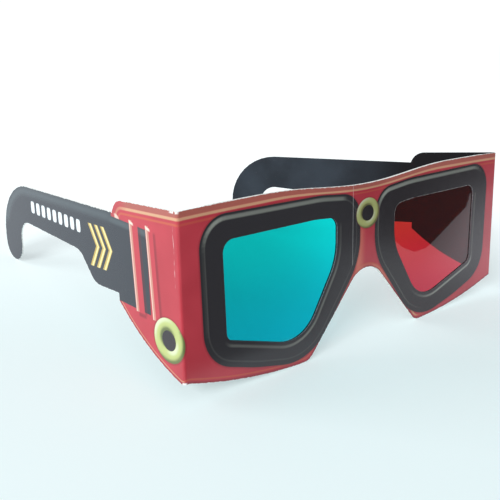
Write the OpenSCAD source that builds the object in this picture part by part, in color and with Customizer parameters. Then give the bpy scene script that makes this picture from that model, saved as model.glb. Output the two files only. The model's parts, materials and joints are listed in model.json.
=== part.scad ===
// Folded card glasses with one cyan and one red film.
// They stand on a table: the face leans back on its two lower corners and on the tip of an ear hook.
// Each outline is drawn on the upright face or temple, with x and s across and y down from the outer top corner.

/* [Face] */
// Width over the outer faces of the two temples
face_w = 140; // [132:1:152]
// Height of the face and of the side tabs at the creases
side_h = 45; // [42:0.5:48]
// Depth of the lower corners beside the nose
corner_drop = 51.4; // [50:0.2:56]
// Distance of those corners from the middle
corner_x = 25; // [22:0.5:30]
// Rounding of those corners
corner_r = 5; // [1:0.5:8]
// How far the lower edge bows out between a crease and its corner
lower_bow = 1.5; // [0:0.1:2.5]
// How far the top edge rises over each window
top_crown = 0.4; // [0:0.1:1.5]
// How far the top edge dips at the bridge
bridge_dip = 2; // [0:0.25:4]
// Half width of that dip
dip_half = 40; // [20:1:50]
// Depth of the top of the nose arch
nose_drop = 28; // [25:0.5:32]
// Radius at the top of the nose arch
nose_r = 9; // [5:0.5:11]

/* [Windows] */
// Distance of a window's inner edge from the middle
win_in = 13.15; // [12:0.05:16]
// Card between a window's outer edge and the side of the face
win_side = 13.75; // [13:0.25:20]
// How far the foot of that outer edge lies inside its head
win_lean = 0.6; // [0:0.1:2]
// Depth of a window's top edge
win_top = 9.6; // [8:0.2:12]
// How far the top edge slopes down to the upper inner corner
win_slope = 0.8; // [0.4:0.1:1.2]
// Length of that slope
win_slope_l = 9; // [8:0.5:14]
// Rounding where the slope begins
win_slope_r = 40; // [10:5:60]
// Card under a window's outer edge, down to the level of the creases' lower ends
side_border = 8.3; // [7:0.1:12]
// Height of a window along its inner edge, down to the nose side
win_inner_h = 13.2; // [10:0.5:18]
// Card under a window's lowest corner, down to the level of the face's lower corners
low_border = 6.1; // [5.5:0.1:9]
// Distance of that lowest corner from the window's inner edge
win_low_x = 14.1; // [11:0.1:18]
// Rounding of a window's upper outer corner
win_r = 3.5; // [1:0.25:5]
// Rounding of a window's lower outer corner
win_foot_r = 2.75; // [1:0.25:5]
// Rounding of a window's upper inner corner
win_in_r = 3.25; // [1:0.25:6]
// Rounding of a window's lowest corner
win_low_r = 12; // [5:0.5:14]
// Rounding of the bend on a window's nose side
win_bend_r = 18; // [8:1:22]

/* [Sheets] */
// Thickness of one card ply
card_t = 0.35; // [0.3:0.05:0.8]
// Thickness of a film and of the glue around it
film_t = 0.15; // [0.1:0.05:0.3]
// How far a film reaches under the card around its window
film_lap = 4; // [2:0.5:5]
// Gap between a film's edge and the glue
film_gap = 0.2; // [0.1:0.05:0.5]
// Width of the glue beside a film, at the outer ends of the back ply
glue_w = 0.85; // [0.5:0.05:2]
// Width of the flat land on each side of a fold
fold_land = 1.2; // [0.4:0.1:1.5]

/* [Temples] */
// Length of a side tab, to the top edge of its arm
tab_l = 29.6; // [27:0.2:34]
// How far the tab's top edge falls towards the rear
tab_fall = 0.6; // [0:0.1:1.5]
// How far the tab's rear edge leans in over the arm
tab_lean = 1.6; // [0.4:0.1:2.4]
// Rounding of the tab's upper rear corner
tab_r = 5; // [1:0.2:5.4]
// Depth of the tab's lower rear corner
tab_low = 29; // [28:0.5:34]
// Step from the tab's upper rear edge in to its lower rear corner
tab_step = 1; // [0.5:0.25:3]
// How far the tab's lower edge bows out
tab_bow = 1.85; // [0:0.05:3]
// Depth of the arm's top edge where it leaves the tab
arm_drop = 4.3; // [4.1:0.1:6]
// Depth of the arm's lower edge beside the tab
root_drop = 26.8; // [24:0.2:27.6]
// Length of that deep root
root_l = 11.8; // [9:0.1:18]
// Length of the slope between the root and the slim arm
taper_l = 7.4; // [6.5:0.1:12]
// Depth of the slim arm's lower edge at the slope
slim_drop = 18.2; // [16:0.1:19]
// Rounding at both ends of the slope
taper_r = 6.5; // [1:0.5:8]
// Distance of the ear hook's centre from the crease
hook_s = 82; // [72:0.2:95]
// Depth of the arm's top edge at the hook
hook_drop = 3.3; // [2.5:0.1:4.5]
// Height of the arm at the hook, which is the hook's width
arm_h = 12; // [10:0.25:14]
// Radius of the hook over the ear
ear_r = 6; // [4:0.25:9]
// Straight length between the hook's bend and its round tip
tip_l = 2.3; // [0.5:0.1:8]

/* [Rest pose] */
// How far the right temple is folded in from straight back, in degrees
right_fold = 0; // [0:1:10]
// How far the left temple is folded in from straight back, in degrees
left_fold = 30; // [10:1:45]

/* [Hidden] */
$fn = 64;

// Points on one rounded corner, on one bowed edge and along the top edge
arc_steps = 10;
bow_steps = 10;
top_steps = 28;

card_red = [0.66, 0.16, 0.19];
card_black = [0.13, 0.14, 0.15];
card_inside = [0.10, 0.10, 0.11];
film_cyan = [0.00, 0.72, 0.74, 0.55];
film_red = [0.85, 0.10, 0.12, 0.55];
glue_clear = [0.90, 0.88, 0.80];

// Thickness of the whole face, and the fold axis at the inner face of the outer ply
face_t = 2 * card_t + film_t;
pivot_x = face_w / 2 - card_t;
pivot_y = card_t;
front_edge = pivot_x - fold_land;
win_out = face_w / 2 - win_side;
back_edge = win_out + film_lap + film_gap + glue_w;

function unit(v) = v / norm(v);
function flat(p) = [p[0], p[1]];

// Half the angle between the two edges that meet at corner q
function half_angle(p, q, n) = acos(unit(flat(p) - flat(q)) * unit(flat(n) - flat(q))) / 2;

// Direction into the corner at q, halfway between its two edges
function inward(p, q, n) = unit(unit(flat(p) - flat(q)) + unit(flat(n) - flat(q)));

// Points of the arc that rounds corner q = [x, y, radius], between its neighbours p and n
function corner(p, q, n) =
    q[2] == 0 ? [flat(q)] :
    let(half = half_angle(p, q, n))
    let(centre = flat(q) + inward(p, q, n) * q[2] / sin(half))
    let(first = unit(flat(p) - flat(q)) * q[2] / tan(half) + flat(q) - centre)
    let(side = cross(flat(q) - flat(p), flat(n) - flat(q)) > 0 ? 1 : -1)
    let(start = atan2(first[1], first[0]))
    [for (i = [0:arc_steps])
        let(a = start + side * (180 - 2 * half) * i / arc_steps)
        centre + q[2] * [cos(a), sin(a)]];

// Closed outline through a list of corners
function outline(c) =
    [for (i = [0:len(c) - 1]) each corner(c[(i + len(c) - 1) % len(c)], c[i], c[(i + 1) % len(c)])];

// Corners of a convex outline moved out by d, listed anticlockwise or clockwise
function grown(c, d) =
    [for (i = [0:len(c) - 1])
        let(p = c[(i + len(c) - 1) % len(c)])
        let(n = c[(i + 1) % len(c)])
        let(q = flat(c[i]) - inward(p, c[i], n) * d / sin(half_angle(p, c[i], n)))
        [q[0], q[1], c[i][2] + d]];

// Points between p and q on an edge that bows out to its left by the given amount
function bowed(p, q, bow) =
    let(normal = unit([p[1] - q[1], q[0] - p[0]]))
    [for (i = [1:bow_steps - 1])
        let(t = i / bow_steps)
        let(m = p + (q - p) * t + normal * bow * 4 * t * (1 - t))
        [m[0], m[1], 0]];

// Points of an arc about a centre, from one angle to another
function arc(centre, r, from, to) =
    [for (i = [0:arc_steps])
        let(a = from + (to - from) * i / arc_steps)
        [centre[0] + r * cos(a), centre[1] + r * sin(a), 0]];

function mirrored(c) = [for (i = [len(c) - 1:-1:0]) [-c[i][0], c[i][1], c[i][2]]];

// Height of the top edge at distance x from the middle
function top_y(x) =
    x < dip_half
        ? top_crown - (bridge_dip + top_crown) * (1 + cos(180 * x / dip_half)) / 2
        : top_crown * (1 - pow((x - dip_half) / (face_w / 2 - dip_half), 2));

// The nose arch's flanks run from the lower corners to touch the arch's round top
nose_run = [corner_x, corner_drop - nose_drop - nose_r];
nose_slope = atan2(nose_run[1], nose_run[0]) + asin(nose_r / norm(nose_run));
nose_apex = corner_x * tan(nose_slope) - corner_drop;

lower_start = [front_edge, -side_h];
lower_end = [corner_x, -corner_drop];
lower_right = concat([[front_edge, -side_h, 0]],
                     bowed(lower_start, lower_end, lower_bow),
                     [[corner_x, -corner_drop, corner_r]]);
top_edge = [for (i = [0:top_steps])
    let(x = front_edge * (2 * i / top_steps - 1))
    [x, top_y(abs(x)), 0]];
face_points = outline(concat(top_edge, lower_right, [[0, nose_apex, nose_r]], mirrored(lower_right)));
face_low = min([for (p = face_points) p[1]]);

window = [[win_out, -win_top, win_r],
          [win_in + win_slope_l, -win_top, win_slope_r],
          [win_in, -win_top - win_slope, win_in_r],
          [win_in, -win_top - win_inner_h, win_bend_r],
          [win_in + win_low_x, low_border - corner_drop, win_low_r],
          [win_out - win_lean, side_border - side_h, win_foot_r]];

// Temple outline, from the crease back along the top, round the hook and forward along the lower edge
hook_centre = [hook_s, -hook_drop - ear_r - arm_h];
tip_r = arm_h / 2;
tip_centre = hook_centre + [ear_r + tip_r, -tip_l];
tab_corner = [tab_l - tab_step, -tab_low];
tab_start = [fold_land, -side_h];
temple_points = outline(concat(
    [[fold_land, 0, 0],
     [tab_l - tab_lean, -tab_fall, tab_r],
     [tab_l, -arm_drop, 0]],
    arc(hook_centre, ear_r + arm_h, 90, 0),
    arc(tip_centre, tip_r, 0, -180),
    arc(hook_centre, ear_r, 0, 90),
    [[tab_l + root_l + taper_l, -slim_drop, taper_r],
     [tab_l + root_l, -root_drop, taper_r],
     [tab_corner[0], -root_drop, 0],
     [tab_corner[0], tab_corner[1], 0]],
    bowed(tab_corner, tab_start, tab_bow),
    [[tab_start[0], tab_start[1], 0]]));

// The face leans until the straighter hook's tip comes down to the table
straight_fold = min(right_fold, left_fold);
tip_run = [pivot_y + tip_centre[0] * cos(straight_fold) - face_t, tip_centre[1] - face_low];
lean = atan2(tip_run[1], tip_run[0]) - asin(tip_r / norm(tip_run));

// The origin is at the middle of the footprint, on the table
front_y = face_low * sin(lean);
rear_y = max([for (p = temple_points)
    (pivot_y + p[0] * cos(straight_fold)) * cos(lean) + p[1] * sin(lean)]);
table_z = face_low * cos(lean) - face_t * sin(lean);

// Turns what is drawn on the upright glasses into the standing pose
module standing() {
    translate([0, -(front_y + rear_y) / 2, -table_z])
        rotate([-lean, 0, 0])
            children();
}

// A sheet of the face, from depth y back by thickness t
module sheet(y, t) {
    translate([0, y + t, 0])
        rotate([90, 0, 0])
            linear_extrude(t)
                children();
}

// Left to right mirror image
module other_side() {
    mirror([1, 0, 0])
        children();
}

// The face's outline, cut off at the given distance from the middle
module face_shape(edge) {
    tall = corner_drop + side_h;
    intersection() {
        polygon(face_points);
        translate([-edge, -tall])
            square([2 * edge, 2 * tall]);
    }
}

// Both windows, each grown by d
module window_pair(d) {
    polygon(outline(grown(window, d)));
    other_side()
        polygon(outline(grown(window, d)));
}

// One temple sheet on the wearer's right, folded in from straight back
module temple(fold) {
    translate([-pivot_x, pivot_y, 0])
        rotate([90, 0, 90 - fold])
            translate([0, 0, -card_t])
                linear_extrude(card_t)
                    polygon(temple_points);
}

// The folded strip between the face's ply and that temple, round about the fold axis
module crease(fold) {
    translate([-pivot_x, pivot_y, -side_h]) {
        rotate([0, 0, 180 - fold])
            rotate_extrude(angle = 90 + fold)
                square([card_t, side_h]);
        translate([0, -card_t, 0])
            cube([fold_land, card_t, side_h]);
        rotate([0, 0, -fold])
            translate([-card_t, 0, 0])
                cube([card_t, fold_land, side_h]);
    }
}

// A film of one window, between the two plies
module film() {
    sheet(card_t, film_t)
        polygon(outline(grown(window, film_lap)));
}

module front_panel() {
    color(card_red)
        standing()
            sheet(0, card_t)
                difference() {
                    face_shape(front_edge);
                    window_pair(0);
                }
}

module back_panel() {
    color(card_inside)
        standing()
            sheet(card_t + film_t, card_t)
                difference() {
                    face_shape(back_edge);
                    window_pair(0);
                }
}

module face_glue() {
    color(glue_clear)
        standing()
            sheet(card_t, film_t)
                difference() {
                    face_shape(back_edge);
                    window_pair(film_lap + film_gap);
                }
}

module right_lens() {
    color(film_cyan)
        standing()
            other_side()
                film();
}

module left_lens() {
    color(film_red)
        standing()
            film();
}

module right_crease() {
    color(card_red)
        standing()
            crease(right_fold);
}

module left_crease() {
    color(card_red)
        standing()
            other_side()
                crease(left_fold);
}

module right_temple() {
    color(card_black)
        standing()
            temple(right_fold);
}

module left_temple() {
    color(card_black)
        standing()
            other_side()
                temple(left_fold);
}

front_panel();
back_panel();
face_glue();
right_lens();
left_lens();
right_crease();
left_crease();
right_temple();
left_temple();
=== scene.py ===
"""Looks of the folded card glasses: one printed sheet, two colour films and a plain black lining.

The print is drawn in millimetres on the unfolded blank: x across from the middle, towards the wearer's left,
and y up from the level of the face's outer top corners. On a tab and its arm, s is the distance past the
fold.
"""

import json
import math

import bmesh
import bpy
import numpy as np
from mathutils import Matrix, Vector
from mathutils.geometry import delaunay_2d_cdt


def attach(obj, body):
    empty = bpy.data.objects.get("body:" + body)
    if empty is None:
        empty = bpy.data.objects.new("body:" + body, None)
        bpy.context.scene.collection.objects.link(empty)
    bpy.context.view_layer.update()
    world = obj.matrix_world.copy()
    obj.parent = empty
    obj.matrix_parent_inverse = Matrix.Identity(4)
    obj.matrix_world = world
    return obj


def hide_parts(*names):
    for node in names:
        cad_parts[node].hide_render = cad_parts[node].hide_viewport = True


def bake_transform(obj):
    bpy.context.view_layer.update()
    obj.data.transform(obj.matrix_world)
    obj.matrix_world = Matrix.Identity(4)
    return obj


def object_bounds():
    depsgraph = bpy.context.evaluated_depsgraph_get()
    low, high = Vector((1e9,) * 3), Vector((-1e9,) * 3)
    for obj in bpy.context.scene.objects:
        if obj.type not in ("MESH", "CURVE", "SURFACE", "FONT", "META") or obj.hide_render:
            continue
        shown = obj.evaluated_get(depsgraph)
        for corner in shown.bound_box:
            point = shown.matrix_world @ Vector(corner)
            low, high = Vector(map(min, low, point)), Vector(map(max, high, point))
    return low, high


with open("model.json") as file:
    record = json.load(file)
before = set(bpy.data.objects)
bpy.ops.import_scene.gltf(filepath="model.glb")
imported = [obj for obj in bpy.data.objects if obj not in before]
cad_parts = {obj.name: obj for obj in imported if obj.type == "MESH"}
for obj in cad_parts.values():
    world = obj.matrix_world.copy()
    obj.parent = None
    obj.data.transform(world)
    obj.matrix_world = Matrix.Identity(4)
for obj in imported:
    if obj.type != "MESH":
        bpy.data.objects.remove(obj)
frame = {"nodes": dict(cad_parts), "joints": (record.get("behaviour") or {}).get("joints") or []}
cad_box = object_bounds()
scene = bpy.context.scene
nodes = frame["nodes"]
joints = {j["name"]: j for j in frame["joints"]}
SIDES = {"right": -1, "left": 1}
MM = 0.001

# Directions of the leaning face
ACROSS = Vector((1, 0, 0))
UP = Vector(joints["left_fold"]["axis"]).normalized()
BACK = UP.cross(ACROSS)


def reach(node, direction):
    """Lowest and highest place of a CAD node along a direction."""
    along = [v.co.dot(direction) for v in nodes[node].data.vertices]
    return min(along), max(along)


# Top, front and inner side of the face's printed ply in metres, then in millimetres the card's thickness,
# the ply's end, and the place and length of a fold
TOP = reach("right_crease", UP)[1]
FRONT, INNER = reach("front_panel", BACK)
CARD = (INNER - FRONT) / MM
FACE_END = reach("front_panel", ACROSS)[1] / MM
PIVOT_X = joints["left_fold"]["pos_m"][0] / MM
SIDE_H = (TOP - reach("right_crease", UP)[0]) / MM

# The printed surface runs this far round a fold, and the side tabs start there on the blank
FOLD_ARC = CARD * math.pi / 2
TAB_X = PIVOT_X + FOLD_ARC

# Mesh sizes: the finest grid carries the print
PRINT_STEP = 0.55
PLAIN_STEP = 4.0
EDGE_STEP = 0.8
# Height of a grid's rows, and the least distance of its points from the outlines, as shares of its step
ROW_SHARE = 0.866
CLEAR_SHARE = 0.45
# Triangles with a smaller area lie along straight outlines, outside them
SLIVER = 0.001
# Keeps a length from being zero, and joins points that lie closer
TINY = 1e-6
# A side of a CAD sheet faces outward if its normal is at least this much along that direction
FACING = 0.99
# Inner radius of a fold's bend, its steps, and the least angle of its sharp edges
BEND_R = 0.4
BEND_STEPS = 10
SHARP_ANGLE = math.radians(40)

# Outer outline of the printed rim round the left window: x, y and corner radius
RIM = [(64.2, -2.45, 8.7), (20.0, -2.95, 60.0), (3.5, -4.65, 8.0), (3.3, -24.7, 20.0), (24.6, -52.1, 18.0),
       (46.0, -47.3, 60.0), (63.5, -41.8, 12.0)]
# The print lies this far off the middle of the cut
PRINT_SHIFT = 0.3
# Painted light on the rim's outer and inner bevels comes from these directions
OUTER_LIGHT = (-0.45, 0.89)
INNER_LIGHT = (0.45, -0.89)

# Printed rings: x, y, half width and height, and the hole's share of these
BRIDGE_RING = (0.3, -11.1, 5.2, 4.65, 0.51)
TAB_RING = (TAB_X + 5.6, -34.5, 6.6, 6.1, 0.45)
RING_LIGHT = (-0.55, 0.62, 0.56)
# Power that flattens the top of a ring's profile
RING_PROFILE = 0.25
# What the fields say where no ring and no edge is near
RING_FAR = 9.0
EDGE_FAR = 99.0


def srgb(r, g, b):
    """Linear colour of an sRGB colour given from 0 to 255."""
    return tuple(c / 12.92 if c <= 0.04045 else ((c + 0.055) / 1.055) ** 2.4
                 for c in (r / 255, g / 255, b / 255)) + (1.0,)


RED = srgb(194, 58, 70)
RED_DEEP = srgb(176, 48, 59)
RED_DARK = srgb(96, 22, 34)
BROWN = srgb(172, 93, 81)
TAN = srgb(216, 173, 132)
PINK_TAN = srgb(204, 138, 122)
CREAM = srgb(244, 218, 202)
ORANGE = srgb(198, 94, 62)
GLOW = srgb(212, 122, 98)
BLACK = srgb(46, 43, 46)
# A deeper copy of the print's black, for painted shade
BLACK_IN_SHADE = srgb(34, 28, 31)
# The arms' and straps' black is a lighter, bluer copy of the rims' black: painted reflection
ARM_BLACK = srgb(48, 53, 60)
BEVEL = srgb(141, 141, 132)
ARM_SHEEN = srgb(90, 100, 104)
RING_PALE = srgb(220, 224, 186)
RING_BODY = srgb(188, 197, 122)
RING_DEEP = srgb(98, 108, 62)
GOLD_PALE = srgb(244, 228, 160)
GOLD_DEEP = srgb(196, 166, 88)
WHITE_INK = srgb(232, 236, 238)
CORE = srgb(250, 248, 244)
CORE_SHADE = srgb(222, 217, 210)
LINING = srgb(51, 57, 65)
LINING_DEEP = srgb(13, 11, 15)
INKED_CORE = srgb(104, 100, 104)
INKED_SHADE = srgb(60, 57, 60)
GLUE = srgb(214, 206, 184)
# Film tints; the tints towards a film's foot are painted shade and reflection
CYAN = srgb(0, 186, 178)
CYAN_LOW = srgb(0, 199, 216)
FILM_RED = srgb(160, 38, 24)
FILM_RED_LOW = srgb(167, 10, 45)
FLOOR = srgb(234, 250, 251)
FLAG_TONE = (0.125, 0.125, 0.135, 1.0)
FLOOR_SEEN = srgb(198, 206, 206)
FLOOR_GLOSS = srgb(246, 242, 252)
DAYLIGHT = (0.95, 0.985, 1.0)
SKYLIGHT = (0.88, 0.95, 1.0, 1.0)
BACKDROP = srgb(255, 255, 255)


# Flat geometry


def rounded(corners, steps=10):
    """Closed outline through corners given as x, y and radius."""
    points = []
    for i, (x, y, r) in enumerate(corners):
        q = np.array((x, y))
        before = np.array(corners[i - 1][:2]) - q
        after = np.array(corners[(i + 1) % len(corners)][:2]) - q
        before /= np.linalg.norm(before)
        after /= np.linalg.norm(after)
        half = math.acos(before @ after) / 2
        middle = (before + after) / np.linalg.norm(before + after)
        centre = q + middle * r / math.sin(half)
        first = q + before * r / math.tan(half) - centre
        turn = math.pi - 2 * half
        side = 1 if before[1] * after[0] - before[0] * after[1] > 0 else -1
        for k in range(steps + 1):
            a = side * turn * k / steps
            c, s = math.cos(a), math.sin(a)
            points.append(centre + (c * first[0] - s * first[1], s * first[0] + c * first[1]))
    return np.array(points)


def segments(loop):
    """The edges of a closed outline, as pairs of points."""
    loop = np.asarray(loop)
    return np.stack([loop, np.roll(loop, -1, 0)], 1)


def mirrored(loop):
    return np.asarray(loop) * (-1, 1)


def nearest(points, edges):
    """Distance of each point from a set of edges, and the unit direction from the nearest place on them."""
    best = np.full(len(points), np.inf)
    away = np.zeros((len(points), 2))
    for a, b in edges:
        run = b - a
        t = np.clip((points - a) @ run / max(run @ run, TINY * TINY), 0, 1)
        gap = points - (a + t[:, None] * run)
        d = np.hypot(gap[:, 0], gap[:, 1])
        closer = d < best
        best[closer] = d[closer]
        away[closer] = gap[closer]
    return best, away / np.maximum(best, TINY)[:, None]


def inside(points, loops):
    """True for each point that an odd number of the outlines holds."""
    odd = np.zeros(len(points), bool)
    for loop in loops:
        for a, b in segments(loop):
            if a[1] != b[1]:
                across = a[0] + (points[:, 1] - a[1]) / (b[1] - a[1]) * (b[0] - a[0])
                odd ^= ((a[1] > points[:, 1]) != (b[1] > points[:, 1])) & (points[:, 0] < across)
    return odd


def signed(points, loops):
    """Distance from the nearest of some outlines, less than 0 inside them, and the direction out of them."""
    d, away = nearest(points, np.concatenate([segments(loop) for loop in loops]))
    sign = np.where(inside(points, loops), -1.0, 1.0)
    return d * sign, away * sign[:, None]


def divided(loop, step):
    """A closed outline with no edge longer than a step."""
    points = []
    for a, b in segments(loop):
        parts = max(1, math.ceil(np.linalg.norm(b - a) / step))
        points += [a + (b - a) * i / parts for i in range(parts)]
    return np.array(points)


def fill(loops, step):
    """Points and triangles that fill divided outlines, and the place of each outline point in them."""
    rim = np.concatenate(loops)
    starts = np.cumsum([0] + [len(loop) for loop in loops])
    edges = [(a + i, a + (i + 1) % (b - a)) for a, b in zip(starts, starts[1:]) for i in range(b - a)]
    low, high = rim.min(0), rim.max(0)
    rows = np.arange(low[1], high[1], step * ROW_SHARE)
    columns = np.arange(low[0], high[0], step)
    grid = np.array([(x + (i % 2) * step / 2, y) for i, y in enumerate(rows) for x in columns])
    grid = grid[inside(grid, loops)]
    clear = nearest(grid, np.concatenate([segments(loop) for loop in loops]))[0]
    grid = grid[clear > step * CLEAR_SHARE]
    points = [Vector(p) for p in np.concatenate([rim, grid])]
    made, _, faces, sources, *_ = delaunay_2d_cdt(points, edges, [], 0, TINY)
    made = np.array(made)
    faces = np.array([f[:3] for f in faces])
    place = {source: i for i, group in enumerate(sources) for source in group}
    a, b, c = (made[faces[:, k]] for k in range(3))
    one, other = b - a, c - a
    area = np.abs(one[:, 0] * other[:, 1] - one[:, 1] * other[:, 0]) / 2
    whole = inside((a + b + c) / 3, loops) & (area > SLIVER)
    return made, faces[whole], [place[i] for i in range(len(rim))]


class Flat:
    """A flat sheet: millimetres along and up on its outer side, and depth behind that."""

    def __init__(self, origin, along, outward):
        self.origin, self.along, self.outward = origin, along, outward

    def of(self, p):
        q = p - self.origin
        return round(q.dot(self.along) / MM, 4), round(q.dot(UP) / MM, 4)

    def at(self, x, y, depth):
        return self.origin + (self.along * x + UP * y - self.outward * depth) * MM


FACE = Flat(UP * TOP + BACK * FRONT, ACROSS, -BACK)


def temple_flat(side):
    """The flat frame of one temple, whose x starts at its fold axis."""
    node = nodes[side + "_temple"].data
    outward = max(node.polygons, key=lambda f: f.area).normal.copy()
    if outward.x * SIDES[side] < 0:
        outward.negate()
    along = outward.cross(UP)
    if along.dot(BACK) < 0:
        along.negate()
    pivot = Vector(joints[side + "_fold"]["pos_m"])
    origin = pivot + UP * (TOP - pivot.dot(UP)) + outward * CARD * MM
    return Flat(origin, along, outward)


def outlines(node, flat):
    """Closed outlines of the outer side of a CAD sheet, in its flat frame."""
    mesh = nodes[node].data
    edges = set()
    for f in mesh.polygons:
        if f.normal.dot(flat.outward) > FACING:
            ring = [flat.of(mesh.vertices[i].co) for i in f.vertices]
            for a, b in zip(ring, ring[1:] + ring[:1]):
                if (b, a) in edges:
                    edges.remove((b, a))
                else:
                    edges.add((a, b))
    follow = dict(sorted(edges))
    loops = []
    while follow:
        loop = [next(iter(follow))]
        while loop[-1] in follow:
            loop.append(follow.pop(loop[-1]))
        loops.append(np.array(loop[:-1]))
    return sorted(loops, key=lambda loop: np.ptp(loop[:, 0]), reverse=True)


FACE_LOOPS = outlines("front_panel", FACE)
WINDOWS = FACE_LOOPS[1:]
temples = {side: temple_flat(side) for side in SIDES}
TEMPLE_START = outlines("right_temple", temples["right"])[0][:, 0].min()

# An edge above this depth belongs to the top, and one this near to a sheet's end is its seam
TOP_DEPTH = -5
SEAM_GAP = 0.01
# On a temple: where the tab ends at the arm, and the depths of the tab's lower rear corner and the hook
TAB_END = 29.61
TAB_FOOT = -28.9
HOOK_BACK = -14.0


# What the print follows, at each point of the blank


def print_fields(blank):
    """Distances in millimetres and painted light that the print's nodes read, for points of the blank."""
    rims = [rounded(RIM) + (PRINT_SHIFT, 0), mirrored(rounded(RIM)) + (PRINT_SHIFT, 0)]
    rim, out = signed(blank, rims)
    fields = {"rim": rim, "rim_lit": np.clip(out @ OUTER_LIGHT, 0, 1)}
    window, out = signed(blank, WINDOWS)
    fields["window"] = window
    fields["window_lit"] = np.clip(out @ INNER_LIGHT, 0, 1)

    ring = np.full(len(blank), RING_FAR)
    lit = np.zeros(len(blank))
    for x, y, half_w, half_h, hole in (BRIDGE_RING, TAB_RING, (-TAB_RING[0], *TAB_RING[1:])):
        gap = (blank - (x, y)) / (half_w, half_h)
        far = np.hypot(gap[:, 0], gap[:, 1])
        across_ring = (2 * far - 1 - hole) / (1 - hole)
        slope = np.clip(across_ring, -1, 1)
        slope *= np.abs(slope) ** RING_PROFILE
        facing = (gap @ RING_LIGHT[:2]) / np.maximum(far, TINY)
        light = slope * facing + np.sqrt(1 - slope * slope) * RING_LIGHT[2]
        closer = across_ring < ring
        ring[closer] = across_ring[closer]
        lit[closer] = light[closer]
    fields["ring"] = ring
    fields["ring_lit"] = np.clip(lit, 0, 1)
    return fields


def edge_fields(points, loop, kind_of):
    """Distances from the cut edges of an outline, sorted by what kind_of says of each edge."""
    groups = {"top": [], "low": [], "arm": [], "cut": []}
    for edge in segments(loop):
        kind = kind_of(*edge)
        if kind != "seam":
            groups["cut"].append(edge)
        if kind in ("top", "low", "arm"):
            groups[kind].append(edge)
    far = np.full(len(points), EDGE_FAR)
    return {name: nearest(points, edges)[0] if edges else far for name, edges in groups.items()}


def face_edge(a, b):
    """What kind of edge an edge of the face is: its seam at a fold, its top or its lower edges."""
    middle = (a + b) / 2
    if abs(middle[0]) > FACE_END - SEAM_GAP:
        return "seam"
    return "top" if middle[1] > TOP_DEPTH else "low"


def temple_edge(a, b):
    """What kind of edge an edge of a temple is: its seam, its tab's top or foot, its arm, or another cut."""
    middle = (a + b) / 2
    if max(a[0], b[0]) < TEMPLE_START + SEAM_GAP:
        return "seam"
    if middle[0] < TAB_END and middle[1] > TOP_DEPTH:
        return "top"
    if middle[0] < TAB_END and middle[1] < TAB_FOOT:
        return "low"
    return "arm" if middle[1] > HOOK_BACK else "cut"


# Node trees

# Sockets of a Mix node for colours, by number because their names repeat: share, two colours and result
MIX_SHARE, MIX_BELOW, MIX_ABOVE, MIX_RESULT = 0, 6, 7, 2


class Value:
    """One number in a node tree, so that a mask reads as a formula."""

    def __init__(self, paint, socket):
        self.paint, self.socket = paint, socket

    def __add__(self, other):
        return self.paint.math("ADD", self, other)

    def __sub__(self, other):
        return self.paint.math("SUBTRACT", self, other)

    def __rsub__(self, other):
        return self.paint.math("SUBTRACT", other, self)

    def __mul__(self, other):
        return self.paint.math("MULTIPLY", self, other)

    def __abs__(self):
        return self.paint.math("ABSOLUTE", self)

    __radd__ = __add__
    __rmul__ = __mul__

    def power(self, n):
        return self.paint.math("POWER", self, n)

    def fraction(self):
        return self.paint.math("FRACT", self)

    def most(self, other):
        return self.paint.math("MAXIMUM", self, other)

    def least(self, other):
        return self.paint.math("MINIMUM", self, other)

    def rise(self, low, high):
        """0 below low, 1 above high, smooth between them."""
        made = self.paint.node("MapRange", interpolation_type="SMOOTHSTEP")
        self.paint.plug(made.inputs["Value"], self)
        made.inputs["From Min"].default_value = low
        made.inputs["From Max"].default_value = high
        return Value(self.paint, made.outputs["Result"])

    def fall(self, low, high):
        return 1 - self.rise(low, high)

    def band(self, low, high, soft):
        """1 between low and high, with soft edges."""
        return self.rise(low - soft, low + soft) * self.fall(high - soft, high + soft)


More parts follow.
